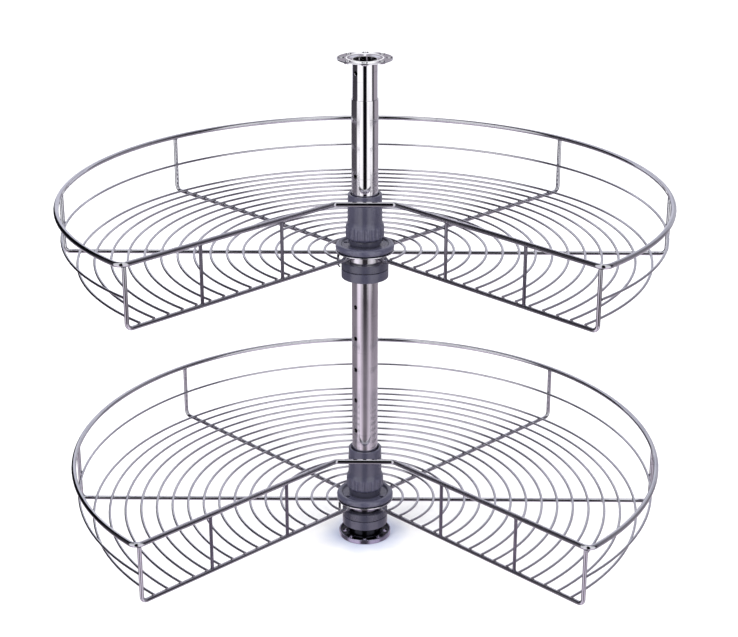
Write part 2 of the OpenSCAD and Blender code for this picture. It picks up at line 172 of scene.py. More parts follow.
# What dull surfaces get: less from the sides and from below than from the ceiling, and the
# heights on a unit sphere between which the one turns to the other
AMBIENT_SIDES = (0.70, 0.70, 0.715)
AMBIENT_TOP = (1.42, 1.42, 1.45)
AMBIENT_TURN = (0.15, 0.85)
BACKDROP = (1.0, 1.0, 1.0)


def band_ramp(tree, turn, bands):
    """Colours round the horizon from a list of (degrees, colour)."""
    ramp = add(tree, "ShaderNodeValToRGB")
    row = ramp.color_ramp.elements
    row[0].color = (*bands[0][1], 1.0)
    row[1].color = (*bands[-1][1], 1.0)
    for degrees, colour in bands[1:-1]:
        row.new((degrees + 180) / 360).color = (*colour, 1.0)
    tree.links.new(turn, ramp.inputs[0])
    return ramp.outputs[0]


def studio_world():
    """White to the eye and plain to dull surfaces; polished metal sees flags and softboxes."""
    world = bpy.data.worlds.new("studio")
    bpy.context.scene.world = world
    world.use_nodes = True
    tree = world.node_tree
    tree.nodes.clear()
    split = add(tree, "ShaderNodeSeparateXYZ")
    tree.links.new(add(tree, "ShaderNodeTexCoord").outputs["Generated"], split.inputs[0])
    x, y, height = split.outputs
    round_angle = math_node(tree, "ARCTAN2", x, math_node(tree, "MULTIPLY", y, -1.0))
    turn = math_node(tree, "ADD", math_node(tree, "MULTIPLY", round_angle, 1 / (2 * math.pi)), 0.5)

    seen = band_ramp(tree, turn, CEILING)
    for row, edges in ROWS:
        share = map_range(tree, height, *(math.sin(math.radians(edge)) for edge in edges))
        seen = mix_colour(tree, share, seen, band_ramp(tree, turn, row))
    path = add(tree, "ShaderNodeLightPath")
    shares = []
    ambient = mix_colour(tree, map_range(tree, height, *AMBIENT_TURN), AMBIENT_SIDES, AMBIENT_TOP)
    for colour in (ambient, seen, BACKDROP):
        share = add(tree, "ShaderNodeBackground")
        if isinstance(colour, tuple):
            share.inputs["Color"].default_value = (*colour, 1.0)
        else:
            tree.links.new(colour, share.inputs["Color"])
        shares.append(share.outputs[0])
    shown = shares[0]
    for ray, share in (("Is Glossy Ray", shares[1]), ("Is Camera Ray", shares[2])):
        mix = add(tree, "ShaderNodeMixShader")
        tree.links.new(path.outputs[ray], mix.inputs[0])
        tree.links.new(shown, mix.inputs[1])
        tree.links.new(share, mix.inputs[2])
        shown = mix.outputs[0]
    tree.links.new(shown, add(tree, "ShaderNodeOutputWorld").inputs[0])


FLOOR_SIZE = 12.0
FLOOR_DROP = 0.0002
FLOOR_WHITE = (0.97, 0.97, 0.975)
FLOOR_LIGHT = (0.5, 0.5, 0.53)  # what the floor sends up to dull surfaces
# Painted shadow on the floor: pale blue round the post, ragged at its edge
SHADOW_BLUE = (0.65, 0.70, 0.86)
SHADOW_EDGE = (0.046, 0.074)
SHADOW_CLOUDS = 22.0
SHADOW_RAGGED = 0.03


def studio_floor():
    """White floor with a faint blue painted shadow round the post; metal sees the studio through
    it.
    """
    bpy.ops.mesh.primitive_plane_add(size=FLOOR_SIZE, location=(0, 0, -FLOOR_DROP))
    floor = bpy.context.object
    floor.name = "floor"
    material = bpy.data.materials.new("white_floor")
    material.use_nodes = True
    tree = material.node_tree
    tree.nodes.clear()
    place = add(tree, "ShaderNodeTexCoord").outputs["Object"]
    reach = add(tree, "ShaderNodeVectorMath", operation="LENGTH")
    tree.links.new(place, reach.inputs[0])
    cloud = add(tree, "ShaderNodeTexNoise")
    cloud.inputs["Scale"].default_value = SHADOW_CLOUDS
    tree.links.new(place, cloud.inputs["Vector"])
    waver = math_node(tree, "MULTIPLY", cloud.outputs["Fac"], SHADOW_RAGGED)
    ragged = math_node(tree, "ADD", reach.outputs["Value"], waver)
    painted_shadow = map_range(tree, ragged, *SHADOW_EDGE, 1.0, 0.0)
    path = add(tree, "ShaderNodeLightPath")
    tone = mix_colour(tree, painted_shadow, FLOOR_WHITE, SHADOW_BLUE)
    tone = mix_colour(tree, path.outputs["Is Diffuse Ray"], tone, FLOOR_LIGHT)
    matt = add(tree, "ShaderNodeBsdfDiffuse")
    tree.links.new(tone, matt.inputs["Color"])
    clear = add(tree, "ShaderNodeBsdfTransparent")
    mix = add(tree, "ShaderNodeMixShader")
    tree.links.new(path.outputs["Is Glossy Ray"], mix.inputs[0])
    tree.links.new(matt.outputs[0], mix.inputs[1])
    tree.links.new(clear.outputs[0], mix.inputs[2])
    tree.links.new(mix.outputs[0], add(tree, "ShaderNodeOutputMaterial").inputs[0])
    floor.data.materials.append(material)


CARD_PLACE = (-0.12, 0.95, 1.05)
CARD_SIZE = (1.26, 1.5, 1.0)
# The card's main tone, where across it the slit stands, and the half widths between which the
# slit turns to the grey strips and these to the main tone, all as shares of the card's width
CARD_PALE = (0.74, 0.74, 0.84)
CARD_SLIT = 0.0857
SLIT_EDGE = (0.012, 0.019)
STRIP_EDGE = (0.07, 0.1)


def pale_card():
    """Card behind the object that only metal sees: pale, with a bright slit between grey strips."""
    bpy.ops.mesh.primitive_plane_add(size=1.0, location=CARD_PLACE,
                                     rotation=(math.radians(90), 0, 0))
    card = bpy.context.object
    card.name = "pale_card"
    card.scale = CARD_SIZE
    material = bpy.data.materials.new("pale_card")
    material.use_nodes = True
    tree = material.node_tree
    tree.nodes.clear()
    split = add(tree, "ShaderNodeSeparateXYZ")
    tree.links.new(add(tree, "ShaderNodeTexCoord").outputs["Object"], split.inputs[0])
    aside = math_node(tree, "ABSOLUTE", math_node(tree, "SUBTRACT", split.outputs[0], CARD_SLIT))
    strips = mix_colour(tree, map_range(tree, aside, *SLIT_EDGE), WHITE, STEEL)
    tone = mix_colour(tree, map_range(tree, aside, *STRIP_EDGE), strips, CARD_PALE)
    glow = add(tree, "ShaderNodeEmission")
    tree.links.new(tone, glow.inputs["Color"])
    tree.links.new(glow.outputs[0], add(tree, "ShaderNodeOutputMaterial").inputs[0])
    card.data.materials.append(material)
    card.visible_camera = False
    card.visible_diffuse = False
    card.visible_shadow = False
    card.visible_transmission = False


MIDDLE = Vector((0.0, 0.0, 0.3))
LAMP_SIZE = 1.6


def softbox(name, place, power):
    """Soft area lamp that metal doesn't mirror."""
    data = bpy.data.lights.new(name, "AREA")
    data.shape = "SQUARE"
    data.size = LAMP_SIZE
    data.energy = power
    lamp = bpy.data.objects.new(name, data)
    bpy.context.scene.collection.objects.link(lamp)
    lamp.location = place
    lamp.rotation_euler = (MIDDLE - Vector(place)).to_track_quat("-Z", "Y").to_euler()
    lamp.visible_glossy = False


# The viewpoint fitted to the photograph: metres from the middle of the object, degrees down
# and to the right, lens in millimetres, and the shift that its frame needs
VIEW_DISTANCE = 1.9857
VIEW_DOWN = 20.98
VIEW_ASIDE = 0.69
LENS = 81.68
LENS_SHIFT = (0.0055, -0.0141)


def camera():
    """The photograph's viewpoint: about 21 degrees down on the middle of the object."""
    down = math.radians(VIEW_DOWN)
    aside = math.radians(VIEW_ASIDE)
    away = Vector((math.cos(down) * math.sin(aside), -math.cos(down) * math.cos(aside),
                   math.sin(down)))
    data = bpy.data.cameras.new("photo_view")
    data.sensor_fit = "HORIZONTAL"
    data.sensor_width = 36.0
    data.lens = LENS
    data.shift_x, data.shift_y = LENS_SHIFT
    data.clip_start = 0.05
    data.clip_end = 40.0
    eye = bpy.data.objects.new("photo_view", data)
    bpy.context.scene.collection.objects.link(eye)
    eye.location = MIDDLE + away * VIEW_DISTANCE
    eye.rotation_euler = (-away).to_track_quat("-Z", "Y").to_euler()
    bpy.context.scene.camera = eye


# ---------- materials ----------

def effect(name, numbers, result):
    """Empty shader node group with number inputs and one output: (tree, inputs, output node)."""
    tree = bpy.data.node_groups.new(name, "ShaderNodeTree")
    for label, value in numbers:
        socket = tree.interface.new_socket(name=label, in_out="INPUT",
                                           socket_type="NodeSocketFloat")
        socket.default_value = value
    tree.interface.new_socket(name=result, in_out="OUTPUT", socket_type="NodeSocketFloat")
    return tree, add(tree, "NodeGroupInput").outputs, add(tree, "NodeGroupOutput")


def noise(tree, scale, detail, stretch=None):
    """Noise on the piece's own coordinates; scale is a socket or a number."""
    place = add(tree, "ShaderNodeTexCoord").outputs["Object"]
    if stretch:
        mapping = add(tree, "ShaderNodeMapping")
        mapping.inputs["Scale"].default_value = stretch
        tree.links.new(place, mapping.inputs["Vector"])
        place = mapping.outputs[0]
    cloud = add(tree, "ShaderNodeTexNoise")
    cloud.inputs["Detail"].default_value = detail
    tree.links.new(place, cloud.inputs["Vector"])
    if isinstance(scale, (int, float)):
        cloud.inputs["Scale"].default_value = scale
    else:
        tree.links.new(scale, cloud.inputs["Scale"])
    return cloud.outputs["Fac"]


SMUDGE_LEVEL = 0.52  # level of the noise at which a smudge is half dull
# Stretches that draw the noise out into hairlines along X, Y and Z, and where a line shows
HAIRLINES = ((1.0, 0.04, 0.04), (0.04, 1.0, 0.06), (0.05, 0.05, 1.0))
HAIRLINE_EDGE = (0.66, 0.72)
# Patches that break up the band of painted highlight, and where they show
HIGHLIGHT_PATCHES = 300.0
HIGHLIGHT_PATCH_EDGE = (0.3, 0.6)


def smudges_effect():
    """Soft patches of handling and polish, 0 clean to 1 dull."""
    tree, given, out = effect("smudges", (("Scale", 18.0), ("Spread", 0.17)), "Mask")
    patches = noise(tree, given["Scale"], 4.0)
    centred = math_node(tree, "SUBTRACT", patches, SMUDGE_LEVEL)
    spread = math_node(tree, "DIVIDE", centred, given["Spread"])
    mask = math_node(tree, "ADD", spread, 0.5, clamp=True)
    tree.links.new(mask, out.inputs["Mask"])
    return tree


def scratches_effect():
    """Hairline scratches that run along and across the piece, as thin bright lines."""
    tree, given, out = effect("hairline_scratches", (("Scale", 260.0), ("Amount", 1.0)), "Mask")
    lines = None
    for stretch in HAIRLINES:
        line = map_range(tree, noise(tree, given["Scale"], 1.0, stretch), *HAIRLINE_EDGE)
        lines = line if lines is None else math_node(tree, "MAXIMUM", lines, line)
    tree.links.new(math_node(tree, "MULTIPLY", lines, given["Amount"]), out.inputs["Mask"])
    return tree


def grain_effect():
    """Height of the surface's fine skin: moulding grain or the ripple of the plating."""
    tree, given, out = effect("fine_skin", (("Scale", 900.0), ("Depth", 1.0)), "Height")
    skin = noise(tree, given["Scale"], 3.0)
    tree.links.new(math_node(tree, "MULTIPLY", skin, given["Depth"]), out.inputs["Height"])
    return tree


def painted_highlight_effect():
    """Mask of a painted highlight on a band round +Z, broken into patches: 0 at the radius From to
    1 at the radius To.
    """
    tree, given, out = effect("painted_highlight_band", (("From", 0.02), ("To", 0.022)), "Mask")
    split = add(tree, "ShaderNodeSeparateXYZ")
    tree.links.new(add(tree, "ShaderNodeTexCoord").outputs["Object"], split.inputs[0])
    squares = [math_node(tree, "MULTIPLY", side, side) for side in split.outputs[:2]]
    radius = math_node(tree, "SQRT", math_node(tree, "ADD", *squares))
    ramp = add(tree, "ShaderNodeMapRange")
    tree.links.new(radius, ramp.inputs["Value"])
    tree.links.new(given["From"], ramp.inputs["From Min"])
    tree.links.new(given["To"], ramp.inputs["From Max"])
    patches = map_range(tree, noise(tree, HIGHLIGHT_PATCHES, 3.0), *HIGHLIGHT_PATCH_EDGE)
    uneven = math_node(tree, "MULTIPLY", ramp.outputs[0], patches)
    tree.links.new(uneven, out.inputs["Mask"])
    return tree


EFFECTS = {"smudges": smudges_effect(), "scratches": scratches_effect(), "skin": grain_effect(),
           "painted_highlight": painted_highlight_effect()}


def placed(tree, name, **values):
    """The output socket of an effect that is set down in a material with its own values."""
    node = add(tree, "ShaderNodeGroup", node_tree=EFFECTS[name])
    for label, value in values.items():
        node.inputs[label.capitalize()].default_value = value
    return node.outputs[0]


def new_material(name):
    """New principled material, returned as (material, tree, shader)."""
    material = bpy.data.materials.new(name)
    material.use_nodes = True
    tree = material.node_tree
    return material, tree, tree.nodes["Principled BSDF"]


def bumped(tree, shader, height, distance):
    """Relief on the shader from a height socket, distance in metres."""
    bump = add(tree, "ShaderNodeBump")
    bump.inputs["Distance"].default_value = distance
    tree.links.new(height, bump.inputs["Height"])
    tree.links.new(bump.outputs[0], shader.inputs["Normal"])


METAL_SMUDGES = 18.0
METAL_SKIN = 500.0
METAL_RIPPLE = 0.000004
SCRATCH_SHARE = 0.6
SCRATCH_TONE = 0.85
SCRATCH_ROUGH = 0.06
RING_SCALE = 90.0
RING_STRETCH = (0.05, 0.05, 30.0)
RING_SHARE = 0.5


def polished_metal(name, bright, dull, smooth, rough, polish_rings=False):
    """Plated steel with soft smudges, hairline scratches and the ripple of the plating."""
    material, tree, shader = new_material(name)
    smudge = placed(tree, "smudges", scale=METAL_SMUDGES)
    scratch = placed(tree, "scratches", amount=SCRATCH_SHARE)
    tone = mix_colour(tree, smudge, bright, dull)
    tone = mix_colour(tree, scratch, tone, tuple(SCRATCH_TONE * part for part in dull))
    tree.links.new(tone, shader.inputs["Base Color"])
    gloss = map_range(tree, smudge, 0.0, 1.0, smooth, rough)
    torn = math_node(tree, "MULTIPLY", scratch, SCRATCH_ROUGH)
    gloss = math_node(tree, "ADD", gloss, torn, clamp=True)
    tree.links.new(gloss, shader.inputs["Roughness"])
    shader.inputs["Metallic"].default_value = 1.0
    height = placed(tree, "skin", scale=METAL_SKIN)
    if polish_rings:
        rings = noise(tree, RING_SCALE, 3.0, RING_STRETCH)
        height = math_node(tree, "ADD", height, math_node(tree, "MULTIPLY", rings, RING_SHARE))
    bumped(tree, shader, height, METAL_RIPPLE)
    return material


PLASTIC_MOTTLE = 60.0
PLASTIC_SPREAD = 0.4
PLASTIC_SKIN = 1500.0
PLASTIC_GRAIN = 0.00002
MOTTLE_ROUGH = 0.08
# How much lighter and less rough the painted highlight makes its band
HIGHLIGHT_TONE = 1.3
HIGHLIGHT_SHINE = 0.06


def moulded_plastic(name, dark, light, rough, painted_highlight=None):
    """Moulded plastic: mottled tone, fine grain, and a painted highlight, lighter and glossier, on
    a band round its edge.
    """
    material, tree, shader = new_material(name)
    mottle = placed(tree, "smudges", scale=PLASTIC_MOTTLE, spread=PLASTIC_SPREAD)
    tone = mix_colour(tree, mottle, dark, light)
    gloss = map_range(tree, mottle, 0.0, 1.0, rough, rough + MOTTLE_ROUGH)
    if painted_highlight:
        # Painted highlight: the band round the edge made lighter and glossier
        highlight_mask = placed(tree, "painted_highlight", **{"from": painted_highlight[0], "to": painted_highlight[1]})
        tone = mix_colour(tree, highlight_mask, tone, tuple(HIGHLIGHT_TONE * part for part in light))
        gloss = math_node(tree, "SUBTRACT", gloss, math_node(tree, "MULTIPLY", highlight_mask, HIGHLIGHT_SHINE))
    tree.links.new(tone, shader.inputs["Base Color"])
    tree.links.new(gloss, shader.inputs["Roughness"])
    shader.inputs["Specular IOR Level"].default_value = 1.0
    bumped(tree, shader, placed(tree, "skin", scale=PLASTIC_SKIN), PLASTIC_GRAIN)
    return material


# Bright and dull tone, and roughness where the metal is clean and where it is smudged
METALS = {
    "chrome_wire": ((0.7, 0.7, 0.73), (0.62, 0.62, 0.66), 0.02, 0.06),
    # Uprights: chrome darkened to a painted dark reflection
    "upright_painted_dark_chrome": ((0.24, 0.22, 0.27), (0.19, 0.175, 0.22), 0.06, 0.12),
    "bright_chrome": ((0.86, 0.86, 0.88), (0.8, 0.8, 0.83), 0.03, 0.07),
    "tube_chrome": ((0.9, 0.88, 0.9), (0.84, 0.82, 0.85), 0.05, 0.1),
    # Chrome darkened with painted shade for the lower collar, and a painted dark reflection for the
    # weld beads
    "painted_shade_chrome": ((0.2, 0.195, 0.23), (0.15, 0.15, 0.19), 0.06, 0.15),
    # Base rim: darker, lavender chrome, a painted reflection
    "rim_painted_lavender_chrome": ((0.5, 0.48, 0.6), (0.4, 0.38, 0.5), 0.08, 0.2),
    # Inside the base dish: near-black metal, a painted dark reflection of the hub above
    "dish_painted_dark_reflection": ((0.035, 0.035, 0.045), (0.02, 0.02, 0.028), 0.08, 0.2),
    "dark_steel": ((0.05, 0.05, 0.06), (0.03, 0.03, 0.04), 0.3, 0.4),
    "ball_steel": ((0.8, 0.8, 0.82), (0.75, 0.75, 0.78), 0.05, 0.08),
}
# Dark and light tone, roughness, and the radii between which an edge gets a painted highlight
GREY = ((0.062, 0.061, 0.098), (0.074, 0.073, 0.114))
PLASTICS = {
    "grey_plastic": (*GREY, 0.2),
    # The nut's swell and the disc's lip get a painted highlight
    "nut_plastic": (*GREY, 0.2, (0.0216, 0.0227)),
    "disc_plastic": (*GREY, 0.2, (0.0325, 0.0345)),
    # Painted shade: a darker grey for the hub core's neck and the race cap's top face
    "deep_painted_shade_plastic": ((0.046, 0.045, 0.07), (0.055, 0.054, 0.084), 0.25),
    # Painted shade: a darker grey for the race cap under the disc
    "race_painted_shade_plastic": ((0.045, 0.045, 0.075), (0.055, 0.055, 0.088), 0.25),
    "dark_plastic": ((0.02, 0.02, 0.025), (0.03, 0.03, 0.035), 0.5),
}
MATERIALS = {name: polished_metal(name, *values, polish_rings=name == "tube_chrome")
             for name, values in METALS.items()}
MATERIALS.update((name, moulded_plastic(name, *values)) for name, values in PLASTICS.items())
# Carried-over pieces whose finish differs from the plain one of their slot, by the name's end: the
# uprights take chrome with a painted dark reflection, the hub core plastic with painted shade
FINISH = {"uprights": "upright_painted_dark_chrome", "post_tube": "tube_chrome", "top_tube": "tube_chrome",
          "hub_core": "deep_painted_shade_plastic"}


def dress_nodes():
    """Every carried-over piece gets its finish."""
    for row in frame["record"]["subparts"]:
        mesh = nodes[row["node"]].data
        mesh.materials.clear()
        own = [finish for ending, finish in FINISH.items() if row["node"].endswith(ending)]
        mesh.materials.append(MATERIALS[own[0] if own else row["material_slot"]])


# ---------- mesh helpers: lengths in millimetres, brought to metres by the last step ----------

SAME_POINT = 0.001
ON_CIRCLE = 0.002


def rounded(bm, edges, radius, segments):
    """The edges bevelled to a round of the given radius."""
    bmesh.ops.bevel(bm, geom=edges, offset=radius, offset_type="OFFSET", segments=segments,
                    profile=0.5, affect="EDGES", material=-1)


def turned(profile, steps=96, segments=4):
    """Ring or solid turned about +Z. A profile point is (radius, height, rounding).

    The profile closes on itself unless it starts and ends on the axis.
    """
    bm = bmesh.new()
    corners = [bm.verts.new((radius, 0, height)) for radius, height, _ in profile]
    pairs = list(zip(corners, corners[1:]))
    if profile[0][0] > 0:
        pairs.append((corners[-1], corners[0]))
    edges = [bm.edges.new(pair) for pair in pairs]
    bmesh.ops.spin(bm, geom=corners + edges, cent=(0, 0, 0), axis=(0, 0, 1), angle=2 * math.pi,
                   steps=steps, use_merge=True)
    bmesh.ops.remove_doubles(bm, verts=bm.verts, dist=SAME_POINT)

    def at_corner(vert, radius, height):
        off = abs(math.hypot(vert.co.x, vert.co.y) - radius)
        return off < ON_CIRCLE and abs(vert.co.z - height) < ON_CIRCLE

    for radius, height, rounding in profile:
        if rounding:
            circle = [edge for edge in bm.edges
                      if all(at_corner(vert, radius, height) for vert in edge.verts)]
            rounded(bm, circle, rounding, segments)
    bmesh.ops.recalc_face_normals(bm, faces=bm.faces)
    return bm


def only_verts(geometry):
    """The vertices among an operator's results."""
    return [item for item in geometry if isinstance(item, bmesh.types.BMVert)]


def turn_round(bm, degrees, verts):
    """The vertices turned about +Z."""
    bmesh.ops.rotate(bm, cent=(0, 0, 0), matrix=Matrix.Rotation(math.radians(degrees), 3, "Z"),
                     verts=verts)


def soften(bm, sharp=40):
    """Smooth shading everywhere but over edges that turn by more than sharp degrees."""
    for face in bm.faces:
        face.smooth = True
    for edge in bm.edges:
        edge.smooth = edge.calc_face_angle(0.0) < math.radians(sharp)


def finished(name, body, slot, bm, stands_for=(), height=0.0, finish=None, second=None,
             where=None):
    """The mesh as a piece that rides on a body, at its height on the post.

    Faces whose middle the function where picks get the second finish.
    """
    soften(bm)
    if second:
        for face in bm.faces:
            face.material_index = int(where(face.calc_center_median()))
    bmesh.ops.translate(bm, vec=(0, 0, height), verts=bm.verts)
    bmesh.ops.scale(bm, vec=(MM, MM, MM), verts=bm.verts)
    mesh = bpy.data.meshes.new(name)
    bm.to_mesh(mesh)
    bm.free()
    mesh.materials.append(MATERIALS[finish or slot])
    if second:
        mesh.materials.append(MATERIALS[second])
    piece = bpy.data.objects.new(name, mesh)
    bpy.context.scene.collection.objects.link(piece)
    flats = piece.modifiers.new("even_shading", "WEIGHTED_NORMAL")
    flats.keep_sharp = True
    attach(piece, body)
    if stands_for:
        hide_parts(*stands_for)


def level_piece(level, name, body, slot, bm, stands_for=(), **looks):
    """The mesh as a piece of one level, named for it and drawn about its spokes."""
    finished(f"{level}_{name}", f"{level}_{body}", slot, bm,
             [f"{level}_{node}" for node in stands_for], HEIGHT[level], **looks)


def combined(bm, tool, operation):
    """The mesh with the tool's solid joined to it or cut from it."""
    blanks = []
    for source in (bm, tool):
        mesh = bpy.data.meshes.new("blank")
        source.to_mesh(mesh)
        source.free()
        blank = bpy.data.objects.new("blank", mesh)
        bpy.context.scene.collection.objects.link(blank)
        blanks.append(blank)
    work, cutter = blanks
    step = work.modifiers.new("step", "BOOLEAN")
    step.operation = operation
    step.solver = "EXACT"
    step.object = cutter
    result = bmesh.new()
    result.from_object(work, bpy.context.evaluated_depsgraph_get())
    for blank in blanks:
        mesh = blank.data
        bpy.data.objects.remove(blank)
        bpy.data.meshes.remove(mesh)
    return result


def cones_on_circle(count, circle_r, low_r, high_r, low_z, high_z, start=0.0, segments=32):
    """Upright cones or cylinders evenly round +Z, the first at the start angle."""
    bm = bmesh.new()
    for index in range(count):
        place = Matrix.Rotation(math.radians(start + index * 360 / count), 4, "Z")
        place = place @ Matrix.Translation((circle_r, 0, (low_z + high_z) / 2))
        bmesh.ops.create_cone(bm, cap_ends=True, segments=segments, radius1=low_r, radius2=high_r,
                              depth=high_z - low_z, matrix=place)
    return bm


# ---------- post ----------

BOLTS = 8
BOLT_HOLE_R = 2.25
BASE_BOLT_CIRCLE_R = 25
TOP_BOLT_CIRCLE_R = 27
FLANGE_R = 32
DISH_R, DISH_FLOOR = 30.4, 3
POST_R = 15.55
TOP_TUBE_R = 14.45
TOP_FACE = 601


def base_flange():
    """Dished flange with a rounded rim, filleted socket and countersunk bolt holes."""
    bm = turned((
        (0, 0, 0), (FLANGE_R, 0, 1.0), (FLANGE_R, 6, 0.7), (DISH_R, 6, 0.6),
        (DISH_R, DISH_FLOOR, 1.5), (21.1, DISH_FLOOR, 2.0), (18.5, 16.3, 1.0),
        (POST_R, 16.3, 0.4), (POST_R, DISH_FLOOR, 0), (0, DISH_FLOOR, 0)))
    for low_r, high_r, low in ((BOLT_HOLE_R, BOLT_HOLE_R, -1), (2.2, 3.7, 1.7)):
        hole = cones_on_circle(BOLTS, BASE_BOLT_CIRCLE_R, low_r, high_r, low, DISH_FLOOR + 0.2)
        bm = combined(bm, hole, "DIFFERENCE")
    # The rim gets a painted lavender reflection and the dish inside a painted dark reflection
    finished("base_dish", "post", "bright_chrome", bm, ["base_flange"], finish="rim_painted_lavender_chrome",
             second="dish_painted_dark_reflection",
             where=lambda middle: middle.xy.length < DISH_R + 0.2 and middle.z > DISH_FLOOR - 0.1)


def top_flange():
    """Thin plate swaged round the top tube, with pressed countersinks round its edge."""
    bm = turned((
        (TOP_TUBE_R, 598.2, 0), (20, 599.4, 1.5), (FLANGE_R, 599.4, 0.5),
        (FLANGE_R, TOP_FACE, 0.6), (20, TOP_FACE, 2.0), (16.2, 599.9, 1.0),
        (TOP_TUBE_R, 599.5, 0.15)))
    for low_r, high_r, low, high, operation in (
            (3.85, 4.8, 598.2, 600.2, "UNION"),
            (BOLT_HOLE_R, BOLT_HOLE_R, 597, 602, "DIFFERENCE"),
            (BOLT_HOLE_R, 4.1, 598.8, 601.1, "DIFFERENCE")):
        cones = cones_on_circle(BOLTS, TOP_BOLT_CIRCLE_R, low_r, high_r, low, high)
        bm = combined(bm, cones, operation)
    finished("top_plate", "top_post", "bright_chrome", bm, ["top_flange"])


# ---------- hubs, drawn about the middle of the spokes ----------

CORE_TOP = 60.95
LIP_R, LIP_MOUTH_R, LIP_BORE = 19.95, 16.8, 15.6
HUB_BORE = 17.85
RACE_R = 27.75
CHANNEL = (19.4, 26.2)
SEAT_BORE = 17.6
DISC_R = 34.5
PLATE_TOP, PLATE_UNDER = 4.05, 2.55
COLLAR = (19.9, 21.9)
SPIGOT_R = 19.85
RACE_TOP = -9
SCREW_CIRCLE_R = 24
SCREW_HOLE_R, SCREW_SEAT_R = 1.55, 2.65
SCREW_SEAT = 6.85


def cap_ring(level):
    """Ring on the core's top, its lip rounded over a deep mouth round the tube."""
    bm = turned((
        (LIP_BORE, CORE_TOP, 0), (LIP_R, CORE_TOP, 0.4), (LIP_R, 72.15, 0.9),
        (LIP_MOUTH_R, 72.15, 0.7), (LIP_MOUTH_R, 66.15, 0.5), (LIP_BORE, 66.15, 0.2)))
    level_piece(level, "cap_lip", "carrier", "grey_plastic", bm, ["cap_ring"])


# The nut's foot and head, its side as (height over the foot, radius), and its flutes: how many,
# how deep, the heights over the foot between which their arches close, half their width as a
# share of their spacing, and their share of the depth at the foot, which grows by one whole
# depth over FLUTE_RISE until it is full
NUT_FOOT, NUT_HEAD = 18.15, 60.65
NUT_SIDE = (
    (0, 20.0), (0.5, 20.9), (1.5, 21.8), (3, 22.45), (4.5, 22.6), (8, 22.6), (12, 22.6),
    (13.5, 22.6), (15, 22.5), (16, 22.3), (17, 21.95), (18, 21.5), (19.5, 20.75), (21, 20.35),
    (23, 20.25), (32, 20.25),
)
NUT_SMOOTH_R = 20.25
FLUTES = 20
FLUTE_DEPTH = 0.7
ARCH = (12.0, 17.5)
FLUTE_HALF = 0.36
FLUTE_START, FLUTE_RISE = 0.2, 3
STEPS_A_FLUTE = 16


def clamp_nut(level):
    """Nut that is smooth above and swells below, where arched flutes give a grip."""
    profile = [(HUB_BORE, NUT_FOOT, 0)] + [(radius, NUT_FOOT + up, 0) for up, radius in NUT_SIDE]
    profile += [(NUT_SMOOTH_R, NUT_HEAD, 0.4), (HUB_BORE, NUT_HEAD, 0.3)]
    bm = turned(profile, steps=STEPS_A_FLUTE * FLUTES)
    for vert in bm.verts:
        radius = math.hypot(vert.co.x, vert.co.y)
        up = vert.co.z - NUT_FOOT
        if radius < HUB_BORE + 1 or up > ARCH[1]:
            continue
        arch = math.sqrt(1 - max(0.0, (up - ARCH[0]) / (ARCH[1] - ARCH[0])) ** 2)
        turn = FLUTES * math.atan2(vert.co.y, vert.co.x) / (2 * math.pi)
        aside = abs(turn - round(turn)) / FLUTE_HALF
        full = min(1.0, FLUTE_START + up / FLUTE_RISE)
        cut = FLUTE_DEPTH * max(0.0, arch ** 2 - aside ** 2) * full
        vert.co.x *= 1 - cut / radius
        vert.co.y *= 1 - cut / radius
    level_piece(level, "fluted_nut", "nut", "grey_plastic", bm, ["clamp_nut"],
                finish="nut_plastic")


def race_rings(level):
    """Turning cap and fixed seat of the ball race, with the running groove between them."""
    inner, outer = CHANNEL
    cap = turned((
        (HUB_BORE, -17.9, 0), (inner, -17.9, 0), (inner, -16, 0), (outer, -16, 0),
        (outer, -17.9, 0), (RACE_R, -17.9, 0.6), (RACE_R, RACE_TOP, 1.3),
        (SPIGOT_R, RACE_TOP, 0.6), (SPIGOT_R, 0, 0.3), (HUB_BORE, 0, 0)))
    # The race cap gets painted shade, and its top face under the plate a deeper painted shade
    level_piece(level, "race_turning", "basket", "grey_plastic", cap, ["race_cap"],
                finish="race_painted_shade_plastic", second="deep_painted_shade_plastic",
                where=lambda middle: middle.z > RACE_TOP - 0.4)
    seat = turned((
        (SEAT_BORE, -29.9, 0.3), (RACE_R, -29.9, 1.0), (RACE_R, -18.7, 0.6), (outer, -18.7, 0),
        (outer, -20.6, 0), (inner, -20.6, 0), (inner, -18.7, 0), (SEAT_BORE, -18.7, 0)))
    level_piece(level, "race_fixed", "carrier", "grey_plastic", seat, ["race_seat"])


def hub_ring(level):
    """Chromed plate and collar that the spokes are welded to."""
    inner, outer = COLLAR
    bm = turned((
        (HUB_BORE, PLATE_TOP, 0.3), (DISC_R, PLATE_TOP, 0.5), (DISC_R, PLATE_UNDER, 0.5),
        (outer, PLATE_UNDER, 0.6), (outer, RACE_TOP, 0.5), (inner, RACE_TOP, 0.2),
        (inner, PLATE_UNDER, 0), (HUB_BORE, PLATE_UNDER, 0.2)))
    # Under the plate, the lower collar's chrome gets painted shade
    level_piece(level, "hub_plate", "basket", "bright_chrome", bm, ["hub_ring"],
                second=COLLAR_FINISH[level], where=lambda middle: middle.z < 2)


def flange_disc(level):
    """Disc with a fat rounded lip round a shallow dish, and deep seats for its screws."""
    bm = turned((
        (HUB_BORE, PLATE_TOP, 0), (DISC_R, PLATE_TOP, 3.9), (DISC_R, 12.55, 4.0),
        (28.9, 12.55, 1.4), (26.6, 9.55, 1.2), (HUB_BORE, 9.55, 0.2)), segments=6)
    for radius, low, high in ((SCREW_HOLE_R, 3, 8), (SCREW_SEAT_R, SCREW_SEAT, 13)):
        hole = cones_on_circle(3, SCREW_CIRCLE_R, radius, radius, low, high, FIRST_SCREW[level])
        bm = combined(bm, hole, "DIFFERENCE")
    level_piece(level, "round_disc", "basket", "grey_plastic", bm, ["flange_disc"],
                finish="disc_plastic")


